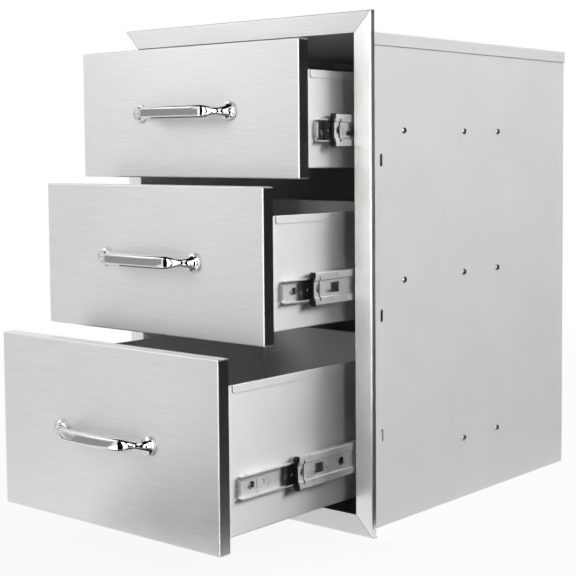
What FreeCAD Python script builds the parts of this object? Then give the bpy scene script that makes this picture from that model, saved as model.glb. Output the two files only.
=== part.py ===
import FreeCAD, Part
import math
import os

# A built-in unit of three drawers for an outdoor kitchen, in millimetres.
# X runs to the right of someone who faces the drawers, Y from front to back and Z up.
# The origin is the middle of the cabinet's underside.

# The whole unit, from the frame's front face to the cabinet's back
unit_width = 355.0
unit_height = 525.0
unit_depth = 410.0

# Face frame: four mitred rails, each folded back at its outer edge and in again
frame_face = 21.0
frame_sheet = 1.0
frame_return = 7.0
frame_lip = 6.0
frame_fold_radius = 1.8

# Cabinet behind the frame, its inner faces in line with the frame's opening
panel_sheet = 1.0
panel_fold_radius = 1.5
panel_flange = 12.0
cover_drop = 18.0
cover_flange = 13.0
back_flange = 12.0
bottom_flange = 12.0

# Upright slots in both side panels, for screws into the kitchen's frame
slot_width = 4.2
slot_length = 13.2
slot_set_back = 42.0
slot_heights = (95.0, 219.0, 378.0)

# Drawer fronts: a folded pan closed by a liner
front_side_gap = 0.8
front_thickness = 13.0
front_sheet = 0.8
front_fold_radius = 1.5
liner_flange = 9.0
liner_gap = 0.1
first_front_gap = 3.0

# The drawers from the bottom up: each front's height and the gap above it, how far it stands
# open in this pose, its rails' middle above the tub's floor, its rivets below that middle, and
# the share of the drawer's travel that its middle rails make
drawer_names = ("bottom", "middle", "top")
front_heights = (179.0, 148.0, 133.0)
front_gaps = (4.0, 6.0, 0.0)
pulled_lengths = (194.0, 133.0, 82.0)
rail_rises = (45.0, 37.3, 36.8)
rivet_drops = (12.5, 1.3, -0.7)
middle_shares = (0.572, 0.643, 0.65)

# Drawer tubs: floor and sides folded from one sheet, with a back set in
tub_sheet = 0.8
tub_fold_radius = 1.6
tub_lift = 10.0
tub_drop = 28.0
tub_length = 375.0
tub_tab = 15.0
tub_back_flange = 12.0
tub_back_lip = 8.0
tub_back_drop = 2.0
hem_height = 7.5
hem_start = 17.0
hem_nose_radius = 3.0

# Telescopic rails of three members. Widths are across Z, and depths are measured
# from the side panel towards the tub.
rail_room = 12.7
rail_length = 350.0
rail_sheet = 1.2
rail_fold_radius = 1.4
outer_rail_height = 42.0
outer_rail_depth = 10.2
outer_rail_lip = 2.6
outer_rail_set_back = 30.0
middle_rail_height = 32.0
middle_rail_near = 2.4
middle_rail_far = 10.0
middle_recess_height = 15.6
middle_recess = 1.8
middle_rail_set_back = 27.3
inner_rail_height = 22.0
inner_rail_depth = 5.9
inner_rail_set_back = 35.5

# Cut-outs in the middle and inner members, each measured from the member's front end
slit_place = 7.5
slit_width = 2.2
slit_height = 23.0
thumb_hole_radius = 4.5
window_place = 18.0
window_length = 20.0
window_height = 10.0
window_foot_length = 7.0
window_foot_height = 3.8
stud_hole_place = 65.2
stud_hole_radius = 4.2
inner_slit_place = 23.8
inner_slit_width = 1.4
inner_slit_height = 9.0
inner_hole_place = 33.0
inner_hole_radius = 2.5
inner_lip_height = 3.0
inner_lip_width = 15.0
inner_corner_radius = 2.5

# Plastic stop pushed into the front end of each middle member
stop_length = 3.0
stop_height = 32.8
stop_near = 1.9
stop_bridge_near = 4.4
stop_clearance = 0.4
stop_tongue_length = 10.0
stop_tongue_near = 5.6
stop_tongue_far = 8.0
stop_tongue_height = 18.4
stop_plug_length = 8.0
stop_plug_far = 7.4
stop_hole_radius = 2.2
stop_hole_place = 6.5

# Ball cages: strips that hold two rows of balls between the members
cage_sheet = 0.6
cage_fold_radius = 0.9
cage_length = 120.0
ball_diameter = 3.5
ball_hole_clearance = 0.15
ball_pitch = 20.0
balls_in_row = 6
outer_cage_near = 1.5
outer_cage_far = 9.0
outer_cage_place = 144.0
inner_cage_near = 5.8
inner_cage_far = 10.6
inner_cage_place = 150.0

# Fasteners
fastener_clearance = 0.05
rivet_head_diameter = 7.0
rivet_head_height = 2.2
rivet_shank_diameter = 4.0
rivet_places = (81.5, 192.4, 260.3)
cover_rivet_head_diameter = 4.0
cover_rivet_head_height = 0.5
cover_rivet_shank_diameter = 2.4
cover_rivet_places = (211.5, 398.0)
rail_screw_head_diameter = 7.0
rail_screw_head_height = 1.6
rail_screw_diameter = 3.5
rail_screw_tip = 1.5
rail_screw_cross_reach = 2.1
rail_screw_cross_width = 0.9
rail_screw_recess = 0.8
rail_screw_places = (17.0, 180.0)
rail_screw_end_inset = 20.0
handle_screw_head_diameter = 8.0
handle_screw_head_height = 2.6
handle_screw_diameter = 4.0
handle_screw_grip = 4.4
handle_hole_spare = 0.6

# Cast pull: a bowed bar with a flat front, whose two necks lean inwards and widen over round feet
handle_spacing = 128.0
foot_diameter = 19.0
foot_thickness = 2.5
foot_edge_radius = 0.8
bar_height = 13.2
bar_depth = 8.0
bar_facet = 8.1
bar_crown = 0.15
bar_reach = 18.4
bar_bow = 1.0
bar_bow_inset = 32.0
# Round sections of the neck from the foot on: inwards of the foot's middle, out from the drawer's
# front, degrees by which it leans to the front's plane, and radius
neck_insets = (0.0, 0.6, 3.0, 9.5)
neck_reaches = (0.6, 2.7, 4.8, 7.9)
neck_leans = (90.0, 80.0, 60.0, 38.0)
neck_radii = (7.6, 6.2, 4.8, 3.7)
# Sections of the bar's end, where the neck grows into the full bar, told in the same way
shoulder_insets = (16.0, 22.5)
shoulder_reaches = (12.4, 15.6)
shoulder_leans = (31.0, 18.0)
shoulder_fullness = (0.5, 1.0)

# How far a hole's cutter runs past the faces that it opens
cut_past = 1.0

# Places worked out from the sizes above
half_width = unit_width / 2
front_y = -unit_depth / 2
back_y = front_y + unit_depth
opening_half = half_width - frame_face
opening_bottom = frame_face
cabinet_half = opening_half + panel_sheet
cabinet_top = unit_height - cover_drop
panel_front = front_y + frame_sheet
panel_back = back_y - panel_sheet
front_half = opening_half - front_side_gap
liner_back = front_y + front_thickness
tub_half = opening_half - rail_room
drawers = [
    {"name": name, "front_height": height, "gap_above": gap, "pulled": pulled,
     "rail_rise": rise, "rivet_drop": drop, "middle_share": share}
    for name, height, gap, pulled, rise, drop, share in zip(
        drawer_names, front_heights, front_gaps, pulled_lengths, rail_rises, rivet_drops, middle_shares)
]
node_shapes = {}


def keep(name, *solids):
    node_shapes[name] = list(solids)


def block(x0, x1, y0, y1, z0, z1):
    corner = FreeCAD.Vector(min(x0, x1), min(y0, y1), min(z0, z1))
    return Part.makeBox(abs(x1 - x0), abs(y1 - y0), abs(z1 - z0), corner)


def rod(radius, length, start, direction):
    return Part.makeCylinder(radius, length, FreeCAD.Vector(*start), FreeCAD.Vector(*direction))


def mirrored(shape):
    return shape.mirror(FreeCAD.Vector(0, 0, 0), FreeCAD.Vector(1, 0, 0))


def moved(shape, x=0.0, y=0.0, z=0.0):
    copy = shape.copy()
    copy.translate(FreeCAD.Vector(x, y, z))
    return copy


def arc_between(start, corner, end, centre, place):
    # a fold's arc from start to end, bulging towards its corner
    radius = math.hypot(start[0] - centre[0], start[1] - centre[1])
    reach = math.hypot(corner[0] - centre[0], corner[1] - centre[1])
    share = radius / reach
    middle = (centre[0] + (corner[0] - centre[0]) * share, centre[1] + (corner[1] - centre[1]) * share)
    return Part.Arc(place(*start), place(*middle), place(*end)).toShape()


def offset_side(points, turns, distance, radii):
    # one face of a folded sheet: its corner points, and where each fold's arc starts and ends
    side = []
    last = len(points) - 1
    for i, (u, v) in enumerate(points):
        before = turns[max(i - 1, 0)]
        after = turns[min(i, last - 1)]
        normal_before = (-before[1], before[0])
        normal_after = (-after[1], after[0])
        if i in (0, last):
            corner = (u + normal_after[0] * distance, v + normal_after[1] * distance)
            side.append((corner, corner, corner, None))
            continue
        corner = (u + (normal_before[0] + normal_after[0]) * distance,
                  v + (normal_before[1] + normal_after[1]) * distance)
        radius = radii[i]
        start = (corner[0] - before[0] * radius, corner[1] - before[1] * radius)
        end = (corner[0] + after[0] * radius, corner[1] + after[1] * radius)
        centre = (corner[0] + (after[0] - before[0]) * radius, corner[1] + (after[1] - before[1]) * radius)
        side.append((corner, start, end, centre))
    return side


def sheet_face(points, sheet, fold_radius, place):
    # A folded sheet's section. The points walk one face of it, with square turns,
    # the sheet lies to the left of the walk, and place turns (u, v) into a point in space.
    turns = []
    for (u0, v0), (u1, v1) in zip(points, points[1:]):
        run = math.hypot(u1 - u0, v1 - v0)
        turns.append(((u1 - u0) / run, (v1 - v0) / run))
    near_radii = {}
    far_radii = {}
    for i in range(1, len(points) - 1):
        leftward = turns[i - 1][0] * turns[i][1] - turns[i - 1][1] * turns[i][0] > 0
        near_radii[i] = fold_radius if leftward else fold_radius - sheet
        far_radii[i] = fold_radius - sheet if leftward else fold_radius
    near = offset_side(points, turns, 0.0, near_radii)
    far = offset_side(points, turns, sheet, far_radii)
    edges = []
    for side in (near, far):
        for (corner, start, end, centre), following in zip(side, side[1:]):
            if centre:
                edges.append(arc_between(start, corner, end, centre, place))
            edges.append(Part.LineSegment(place(*end), place(*following[1])).toShape())
    edges.append(Part.LineSegment(place(*near[0][0]), place(*far[0][0])).toShape())
    edges.append(Part.LineSegment(place(*near[-1][0]), place(*far[-1][0])).toShape())
    return Part.Face(Part.Wire(Part.__sortEdges__(edges)))


def across(y):
    # a section in X and Z at one depth
    return lambda u, v: FreeCAD.Vector(u, y, v)


def prism(points, direction):
    corners = [FreeCAD.Vector(*point) for point in points]
    return Part.Face(Part.makePolygon(corners + corners[:1])).extrude(FreeCAD.Vector(*direction))


def pan(x_half, y0, y1, z0, z1, sheet, radius, open_side):
    # a shallow folded pan, its big face square to Y and open on side -1 or +1
    outside = block(-x_half, x_half, y0, y1, z0, z1)
    closed_y = y1 if open_side < 0 else y0
    rounded = [edge for edge in outside.Edges if edge_is_kept(edge, closed_y)]
    outside = outside.makeFillet(radius, rounded)
    inside_y0 = y0 - sheet if open_side < 0 else y0 + sheet
    inside_y1 = y1 - sheet if open_side < 0 else y1 + sheet
    inside = block(-x_half + sheet, x_half - sheet, inside_y0, inside_y1, z0 + sheet, z1 - sheet)
    inside_closed_y = inside_y1 if open_side < 0 else inside_y0
    rounded = [edge for edge in inside.Edges if edge_is_kept(edge, inside_closed_y)]
    inside = inside.makeFillet(radius - sheet, rounded)
    return outside.cut(inside)


def edge_is_kept(edge, closed_y):
    # the folds: all edges round the big face, and the four short corners beside it
    ends = [vertex.Point.y for vertex in edge.Vertexes]
    along_y = abs(ends[0] - ends[1]) > 1e-6
    return along_y or abs(ends[0] - closed_y) < 1e-6


def rail_ends(upper):
    # the frame rail's mitre: everything nearer its own edge than the side edges
    z_edge = unit_height if upper else 0.0
    inward = -1.0 if upper else 1.0
    reach = half_width
    return prism([(-half_width, front_y, z_edge), (half_width, front_y, z_edge),
                  (half_width - reach, front_y, z_edge + inward * reach)], (0, unit_depth, 0))


def frame_rails():
    # the section's walk runs from the back lip round the outer edge to the opening's edge
    walk = [(frame_return, -frame_sheet - frame_lip), (frame_return, 0.0), (0.0, 0.0), (0.0, -frame_face)]

    def upright(side):
        def place(u, v):
            return FreeCAD.Vector(side * (half_width + v), front_y + u, 0.0)
        return sheet_face(walk, frame_sheet, frame_fold_radius, place).extrude(
            FreeCAD.Vector(0, 0, unit_height))

    def level(upper):
        # the bottom rail has no back lip, because the cabinet's floor starts at its return
        def place(u, v):
            return FreeCAD.Vector(-half_width, front_y + u, unit_height + v if upper else -v)
        section = sheet_face(walk if upper else walk[1:], frame_sheet, frame_fold_radius, place)
        return section.extrude(FreeCAD.Vector(unit_width, 0, 0))

    keep("frame_top_rail", level(True).common(rail_ends(True)))
    keep("frame_bottom_rail", level(False).common(rail_ends(False)))
    for name, side in (("left", -1), ("right", 1)):
        stile = upright(side).cut(rail_ends(True)).cut(rail_ends(False))
        keep("frame_%s_stile" % name, stile)


def rivet_spots():
    # depth and height of each rivet that holds an outer rail; the lowest row has no front one
    spots = []
    for drawer in drawers:
        places = rivet_places[1:] if drawer["name"] == "bottom" else rivet_places
        for place in places:
            spots.append((front_y + place, rail_centre(drawer) - drawer["rivet_drop"]))
    return spots


def slot_cutter(z):
    y = front_y + slot_set_back
    radius = slot_width / 2
    half_run = slot_length / 2 - radius
    x0 = opening_half - panel_sheet
    through = 3 * panel_sheet
    cutter = block(x0, x0 + through, y - radius, y + radius, z - half_run, z + half_run)
    for end in (z - half_run, z + half_run):
        cutter = cutter.fuse(rod(radius, through, (x0, y, end), (1, 0, 0)))
    return cutter.removeSplitter()


def side_panels():
    # seen from above, the walk runs along the outer face and out round the front flange
    walk = [(cabinet_half, panel_back), (cabinet_half, panel_front + panel_sheet),
            (cabinet_half + panel_flange, panel_front + panel_sheet)]

    def place(u, v):
        return FreeCAD.Vector(u, v, 0.0)

    panel = sheet_face(walk[::-1], panel_sheet, panel_fold_radius, place)
    panel = panel.extrude(FreeCAD.Vector(0, 0, cabinet_top - panel_fold_radius))
    # the front corner is notched over the frame's bottom return
    panel = panel.cut(block(0, half_width, front_y, front_y + frame_return, 0, frame_fold_radius))
    for z in slot_heights:
        panel = panel.cut(slot_cutter(z))
    for y, z in rivet_spots():
        hole = rivet_shank_diameter / 2 + fastener_clearance
        panel = panel.cut(rod(hole, 3 * panel_sheet, (opening_half - panel_sheet, y, z), (1, 0, 0)))
    for y, z in cover_rivet_spots():
        hole = cover_rivet_shank_diameter / 2 + fastener_clearance
        panel = panel.cut(rod(hole, 3 * panel_sheet, (opening_half - panel_sheet, y, z), (1, 0, 0)))
    keep("right_side_panel", panel)
    keep("left_side_panel", mirrored(panel))


def cover_rivet_spots():
    return [(front_y + place, cabinet_top - cover_flange / 2) for place in cover_rivet_places]


def top_cover():
    outer = cabinet_half + panel_sheet
    walk = [(-outer, cabinet_top - cover_flange), (-outer, cabinet_top),
            (outer, cabinet_top), (outer, cabinet_top - cover_flange)]
    lid_start = panel_front + panel_fold_radius
    lid = sheet_face(walk[::-1], panel_sheet, panel_fold_radius, across(lid_start))
    lid = lid.extrude(FreeCAD.Vector(0, back_y - lid_start, 0))
    tail = block(-outer, outer, panel_back, back_y, cabinet_top - cover_flange, cabinet_top)
    corners = [edge for edge in tail.Edges
               if abs(edge.BoundBox.YLength - panel_sheet) < 1e-6 and edge.BoundBox.ZMin > cabinet_top - 1e-6]
    tail = tail.makeFillet(panel_fold_radius, corners)
    lip = block(-opening_half, opening_half, panel_front, panel_front + panel_sheet,
                cabinet_top - panel_sheet, unit_height - frame_sheet - frame_fold_radius)
    knee = block(-opening_half, opening_half, panel_front, lid_start, cabinet_top - panel_sheet, cabinet_top)
    cover = lid.fuse([tail, lip, knee]).removeSplitter()
    for y, z in cover_rivet_spots():
        hole = cover_rivet_shank_diameter / 2 + fastener_clearance
        cover = cover.cut(rod(hole, 2 * (outer + cut_past), (-outer - cut_past, y, z), (1, 0, 0)))
    keep("top_cover", cover)


def bottom_panel():
    # a tray with its side flanges turned up inside the side panels, butted to the frame's return
    inner = opening_half
    walk = [(-inner, bottom_flange), (-inner, 0.0), (inner, 0.0), (inner, bottom_flange)]
    tray_start = front_y + frame_return
    tray = sheet_face(walk, panel_sheet, panel_fold_radius, across(tray_start))
    keep("bottom_panel", tray.extrude(FreeCAD.Vector(0, panel_back - panel_sheet - tray_start, 0)))


def back_panel():
    # a plate between the side panels with flanges turned forward along both sides
    walk = [(-opening_half, panel_back - back_flange), (-opening_half, panel_back),
            (opening_half, panel_back), (opening_half, panel_back - back_flange)]

    def place(u, v):
        return FreeCAD.Vector(u, v, bottom_flange)

    plate = sheet_face(walk[::-1], panel_sheet, panel_fold_radius, place)
    plate = plate.extrude(FreeCAD.Vector(0, 0, cabinet_top - panel_sheet - bottom_flange))
    foot = block(-opening_half + panel_fold_radius, opening_half - panel_fold_radius,
                 panel_back - panel_sheet, panel_back, 0.0, bottom_flange)
    keep("back_panel", plate.fuse(foot).removeSplitter())


def dome_rivet(head_diameter, head_height, shank_diameter, shank_length):
    # the head's underside lies at x = 0 and the shank runs towards -X
    radius = head_diameter / 2
    ball = (radius ** 2 + head_height ** 2) / (2 * head_height)
    outline = [
        Part.LineSegment(FreeCAD.Vector(-shank_length, 0, 0), FreeCAD.Vector(head_height, 0, 0)).toShape(),
        Part.Arc(FreeCAD.Vector(head_height, 0, 0),
                 FreeCAD.Vector(math.sqrt(ball ** 2 - (radius / 2) ** 2) - ball + head_height, radius / 2, 0),
                 FreeCAD.Vector(0, radius, 0)).toShape(),
        Part.makePolygon([FreeCAD.Vector(0, radius, 0), FreeCAD.Vector(0, shank_diameter / 2, 0),
                          FreeCAD.Vector(-shank_length, shank_diameter / 2, 0),
                          FreeCAD.Vector(-shank_length, 0, 0)]),
    ]
    edges = [edge for piece in outline for edge in piece.Edges]
    face = Part.Face(Part.Wire(Part.__sortEdges__(edges)))
    return face.revolve(FreeCAD.Vector(0, 0, 0), FreeCAD.Vector(1, 0, 0), 360)


def cabinet_rivets():
    rivet = dome_rivet(rivet_head_diameter, rivet_head_height, rivet_shank_diameter, panel_sheet + rail_sheet)
    right = [moved(rivet, cabinet_half, y, z) for y, z in rivet_spots()]
    keep("slide_rivets", *(right + [mirrored(one) for one in right]))
    small = dome_rivet(cover_rivet_head_diameter, cover_rivet_head_height, cover_rivet_shank_diameter,
                       2 * panel_sheet)
    right = [moved(small, cabinet_half + panel_sheet, y, z) for y, z in cover_rivet_spots()]
    keep("cover_rivets", *(right + [mirrored(one) for one in right]))


def front_bottom(drawer):
    z = opening_bottom + first_front_gap
    for below in drawers:
        if below["name"] == drawer["name"]:
            return z
        z += below["front_height"] + below["gap_above"]


def front_centre(drawer):
    return front_bottom(drawer) + drawer["front_height"] / 2


def tub_bottom(drawer):
    return front_bottom(drawer) + tub_lift


def tub_top(drawer):
    return front_bottom(drawer) + drawer["front_height"] - tub_drop


def rail_centre(drawer):
    return tub_bottom(drawer) + drawer["rail_rise"]


def handle_screw_holes(drawer, radius, y0, y1):
    return [rod(radius, y1 - y0, (x, y0, front_centre(drawer)), (0, 1, 0))
            for x in (-handle_spacing / 2, handle_spacing / 2)]


def drawer_front(drawer):
    z0 = front_bottom(drawer)
    z1 = z0 + drawer["front_height"]
    skin = pan(front_half, front_y, liner_back, z0, z1, front_sheet, front_fold_radius, 1)
    inset = front_sheet + liner_gap
    liner = pan(front_half - inset, liner_back - liner_flange, liner_back, z0 + inset, z1 - inset,
                front_sheet, front_fold_radius, -1)
    radius = handle_screw_diameter / 2 + fastener_clearance
    for hole in handle_screw_holes(drawer, radius, front_y - cut_past, liner_back + cut_past):
        skin = skin.cut(hole)
        liner = liner.cut(hole)
    return skin, liner


def drawer_tub(drawer):
    z0 = tub_bottom(drawer)
    z1 = tub_top(drawer)
    start = liner_back
    walk = [(-tub_half, z1), (-tub_half, z0), (tub_half, z0), (tub_half, z1)]
    shell = sheet_face(walk, tub_sheet, tub_fold_radius, across(start))
    shell = shell.extrude(FreeCAD.Vector(0, tub_length, 0))
    inner = tub_half - tub_sheet
    additions = [
        block(-inner, -inner + tub_tab, start, start + tub_sheet, z0 + tub_fold_radius, z1 - hem_height),
        block(inner - tub_tab, inner, start, start + tub_sheet, z0 + tub_fold_radius, z1 - hem_height),
        block(-inner + tub_fold_radius, inner - tub_fold_radius, start, start + tub_sheet,
              z0 + tub_sheet, z0 + tub_sheet + tub_tab),
    ]
    for side in (-1, 1):
        additions.append(hem(side, start + hem_start, start + tub_length, z1))
    tub = shell.fuse(additions).removeSplitter()
    radius = rail_screw_diameter / 2 + fastener_clearance
    for y in rail_screw_spots():
        start_x = -tub_half - cut_past
        tub = tub.cut(rod(radius, -2 * start_x, (start_x, y, rail_centre(drawer)), (1, 0, 0)))
    return tub


def hem(side, y0, y1, top):
    # the top edge folded out and down flat against the tub's side, with its front corner rounded
    x0 = side * tub_half
    x1 = side * (tub_half + tub_sheet)
    strip = block(x0, x1, y0, y1, top - hem_height, top - tub_sheet)
    corner = [edge for edge in strip.Edges if edge.BoundBox.XLength > tub_sheet / 2
              and edge.BoundBox.YMax < y0 + 1e-6 and edge.BoundBox.ZMax < top - hem_height + 1e-6]
    strip = strip.makeFillet(hem_nose_radius, corner)
    roll = rod(tub_sheet, y1 - y0, (x0, y0, top - tub_sheet), (0, 1, 0))
    return strip.fuse(roll)


def tub_back(drawer):
    z0 = tub_bottom(drawer) + tub_sheet
    z1 = tub_top(drawer) - tub_back_drop
    y1 = liner_back + tub_length
    half = tub_half - tub_sheet
    walk = [(-half, y1 - tub_back_flange), (-half, y1), (half, y1), (half, y1 - tub_back_flange)]

    def place(u, v):
        return FreeCAD.Vector(u, v, z0 + tub_fold_radius)

    plate = sheet_face(walk[::-1], tub_sheet, tub_fold_radius, place)
    plate = plate.extrude(FreeCAD.Vector(0, 0, z1 - z0 - tub_fold_radius))
    span = half - tub_fold_radius
    heel = block(-span, span, y1 - tub_sheet, y1, z0, z0 + tub_fold_radius)
    lip = block(-span, span, y1 - tub_back_lip, y1, z1 - tub_sheet, z1)
    return plate.fuse([heel, lip]).removeSplitter()


def beside_panel(y, z_centre):
    # sections of the right rails: u is the depth from the side panel's inner face, v the height
    return lambda u, v: FreeCAD.Vector(opening_half - u, y, z_centre + v)


def rail(walk, sheet, fold_radius, y, z_centre, length):
    section = sheet_face(walk, sheet, fold_radius, beside_panel(y, z_centre))
    return section.extrude(FreeCAD.Vector(0, length, 0))


def outer_rail(drawer):
    z = rail_centre(drawer)
    half = outer_rail_height / 2
    walk = [(outer_rail_depth, half - outer_rail_lip), (outer_rail_depth, half), (0.0, half),
            (0.0, -half), (outer_rail_depth, -half), (outer_rail_depth, -half + outer_rail_lip)]
    member = rail(walk, rail_sheet, rail_fold_radius, front_y + outer_rail_set_back, z, rail_length)
    radius = rivet_shank_diameter / 2 + fastener_clearance
    for y, z_rivet in rivet_spots():
        member = member.cut(rod(radius, 3 * rail_sheet, (opening_half - 2 * rail_sheet, y, z_rivet), (1, 0, 0)))
    return member


def through_rail(y0, y1, z0, z1):
    return block(opening_half - rail_room + rail_sheet, opening_half, y0, y1, z0, z1)


def middle_rail(drawer):
    z = rail_centre(drawer)
    half = middle_rail_height / 2
    step = middle_recess_height / 2
    near = middle_rail_near
    deep = middle_rail_near + middle_recess
    far = middle_rail_far
    walk = [(far, half), (near, half), (near, step), (deep, step),
            (deep, -step), (near, -step), (near, -half), (far, -half)]
    y0 = front_y + middle_rail_set_back
    member = rail(walk, rail_sheet, rail_fold_radius, y0, z, rail_length)
    slit = through_rail(y0 + slit_place - slit_width / 2, y0 + slit_place + slit_width / 2,
                        z - slit_height / 2, z + slit_height / 2)
    member = member.cut(slit)
    x0 = opening_half - middle_rail_far
    thumb = rod(thumb_hole_radius, middle_rail_far, (x0, y0 + slit_place, z), (1, 0, 0))
    thumb = thumb.common(through_rail(y0, y0 + slit_place, z - half, z + half))
    member = member.cut(thumb)
    window_y = y0 + window_place
    foot_end = window_y + window_foot_length
    low = z - window_height / 2
    member = member.cut(through_rail(foot_end, window_y + window_length, low, low + window_height))
    member = member.cut(through_rail(window_y, foot_end, low, low + window_foot_height))
    stud_hole = rod(stud_hole_radius, middle_rail_far, (x0, y0 + stud_hole_place, z), (1, 0, 0))
    return member.cut(stud_hole)


def rail_screw_spots():
    # depths of the screws that hold an inner member to its tub
    y0 = front_y + inner_rail_set_back
    return [y0 + place for place in rail_screw_places + (rail_length - rail_screw_end_inset,)]


def inner_rail(drawer):
    z = rail_centre(drawer)
    half = inner_rail_height / 2
    near = rail_room - inner_rail_depth
    walk = [(near, -half), (rail_room, -half), (rail_room, half), (near, half)]
    y0 = front_y + inner_rail_set_back
    member = rail(walk, rail_sheet, rail_fold_radius, y0, z, rail_length)
    lip = block(tub_half, tub_half + rail_sheet + inner_lip_height, y0, y0 + rail_sheet,
                z - inner_lip_width / 2, z + inner_lip_width / 2)
    member = member.fuse(lip).removeSplitter()
    x0 = tub_half - cut_past
    through = rail_sheet + 2 * cut_past
    radius = rail_screw_diameter / 2 + fastener_clearance
    for y in rail_screw_spots():
        member = member.cut(rod(radius, through, (x0, y, z), (1, 0, 0)))
    member = member.cut(rod(inner_hole_radius, through, (x0, y0 + inner_hole_place, z), (1, 0, 0)))
    member = member.cut(block(x0, x0 + through, y0 + inner_slit_place, y0 + inner_slit_place + inner_slit_width,
                              z - inner_slit_height / 2, z + inner_slit_height / 2))
    return member.cut(inner_rail_nose(y0, z, half))


def inner_rail_nose(y0, z, half):
    # what the two rounded front corners take away
    r = inner_corner_radius
    waste = None
    for side in (-1, 1):
        square = block(tub_half, opening_half, y0, y0 + r, z + side * (half - r), z + side * half)
        piece = square.cut(rod(r, rail_room, (tub_half, y0 + r, z + side * (half - r)), (1, 0, 0)))
        waste = piece if waste is None else waste.fuse(piece)
    return waste


def rail_stop(drawer):
    # a wing above and below the inner member, joined by a bridge that carries the tongue
    z = rail_centre(drawer)
    y1 = front_y + middle_rail_set_back
    y0 = y1 - stop_length
    wing_low = inner_rail_height / 2 + stop_clearance
    wing_high = stop_height / 2
    far = rail_room - inner_rail_depth - stop_clearance
    tongue_half = stop_tongue_height / 2
    stop = block(opening_half - far, opening_half - stop_bridge_near, y0, y1, z - wing_low, z + wing_low)
    solids = [block(opening_half - stop_tongue_far, opening_half - stop_tongue_near,
                    y0 - stop_tongue_length, y1, z - tongue_half, z + tongue_half)]
    plug_high = middle_rail_height / 2 - rail_sheet - stop_clearance
    plug_near = middle_rail_near + rail_sheet + stop_clearance
    for side in (-1, 1):
        solids.append(block(opening_half - far, opening_half - stop_near, y0, y1,
                            z + side * wing_low, z + side * wing_high))
        solids.append(block(opening_half - stop_plug_far, opening_half - plug_near,
                            y0, y1 + stop_plug_length, z + side * wing_low, z + side * plug_high))
    stop = stop.fuse(solids).removeSplitter()
    return stop.cut(rod(stop_hole_radius, rail_room, (opening_half - rail_room, y1 - stop_hole_place, z),
                        (1, 0, 0)))


def ball_cage(z, y0, near, far, row_height):
    # a strip folded over both tracks, with a row of balls in each folded leg
    half = row_height + cage_sheet / 2
    walk = [(far, half), (near, half), (near, -half), (far, -half)]
    cage = rail(walk, cage_sheet, cage_fold_radius, y0, z, cage_length)
    ball_depth = (near + cage_sheet + far) / 2 + cage_sheet / 2
    x = opening_half - ball_depth
    balls = []
    first = y0 + (cage_length - ball_pitch * (balls_in_row - 1)) / 2
    for i in range(balls_in_row):
        y = first + i * ball_pitch
        hole = rod(ball_diameter / 2 + ball_hole_clearance, 2 * (half + cut_past),
                   (x, y, z - half - cut_past), (0, 0, 1))
        cage = cage.cut(hole)
        for side in (-1, 1):
            balls.append(Part.makeSphere(ball_diameter / 2, FreeCAD.Vector(x, y, z + side * row_height)))
    return [cage] + balls


def ball_cages(drawer):
    z = rail_centre(drawer)
    outer_row = (outer_rail_height / 2 - rail_sheet + middle_rail_height / 2) / 2
    inner_row = (middle_rail_height / 2 - rail_sheet + inner_rail_height / 2) / 2
    outer = ball_cage(z, front_y + outer_cage_place, outer_cage_near, outer_cage_far, outer_row)
    inner = ball_cage(z, front_y + inner_cage_place, inner_cage_near, inner_cage_far, inner_row)
    return outer, inner


def rail_screws(drawer):
    # pan heads lie inside the inner member and the tips come through the tub's side
    z = rail_centre(drawer)
    seat = tub_half + rail_sheet
    screws = []
    for y in rail_screw_spots():
        head = rod(rail_screw_head_diameter / 2, rail_screw_head_height, (seat, y, z), (1, 0, 0))
        rim = [edge for edge in head.Edges if edge.BoundBox.XMin > seat + rail_screw_head_height - 1e-6]
        head = head.makeFillet(rail_screw_head_height / 2, rim)
        shank_length = rail_sheet + tub_sheet + rail_screw_tip
        shank = rod(rail_screw_diameter / 2, shank_length, (seat, y, z), (-1, 0, 0))
        screw = head.fuse(shank).removeSplitter()
        top = seat + rail_screw_head_height
        arm = rail_screw_cross_reach
        slot = rail_screw_cross_width / 2
        for half_y, half_z in ((arm, slot), (slot, arm)):
            screw = screw.cut(block(top - rail_screw_recess, top + cut_past, y - half_y, y + half_y,
                                    z - half_z, z + half_z))
        screws.append(screw)
    return screws + [mirrored(one) for one in screws]


def handle_screws(drawer):
    screws = []
    radius = handle_screw_diameter / 2
    for x in (-handle_spacing / 2, handle_spacing / 2):
        z = front_centre(drawer)
        head = rod(handle_screw_head_diameter / 2, handle_screw_head_height, (x, liner_back, z), (0, 1, 0))
        rim = [edge for edge in head.Edges if edge.BoundBox.YMin > liner_back + handle_screw_head_height - 1e-6]
        head = head.makeFillet(handle_screw_head_height / 3, rim)
        length = front_thickness + handle_screw_grip
        shank = rod(radius, length, (x, liner_back - length, z), (0, 1, 0))
        screws.append(head.fuse(shank).removeSplitter())
    return screws


def bar_section(x, reach, lean, half_height, half_depth, half_facet, crown):
    # A closed section of the bar: its front and back are nearly flat, its top and bottom round.
    # lean is how far its front has turned from facing forwards to facing sideways, in degrees.
    angle = math.radians(lean)
    outward = FreeCAD.Vector(math.sin(angle), -math.cos(angle), 0)
    centre = FreeCAD.Vector(x, -reach, 0)

    def place(forward, up):
        return centre + outward * forward + FreeCAD.Vector(0, 0, up)

    edge = half_depth - crown
    arcs = (
        (place(edge, -half_facet), place(half_depth, 0), place(edge, half_facet)),
        (place(edge, half_facet), place(0, half_height), place(-edge, half_facet)),
        (place(-edge, half_facet), place(-half_depth, 0), place(-edge, -half_facet)),
        (place(-edge, -half_facet), place(0, -half_height), place(edge, -half_facet)),
    )
    return Part.Wire([Part.Arc(*points).toShape() for points in arcs])


def round_section(radius):
    # a circle in four arcs: 60 degrees in front and at the back, 120 degrees above and below
    side = math.radians(30)
    return radius, radius, radius * math.sin(side), radius * (1 - math.cos(side))


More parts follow.
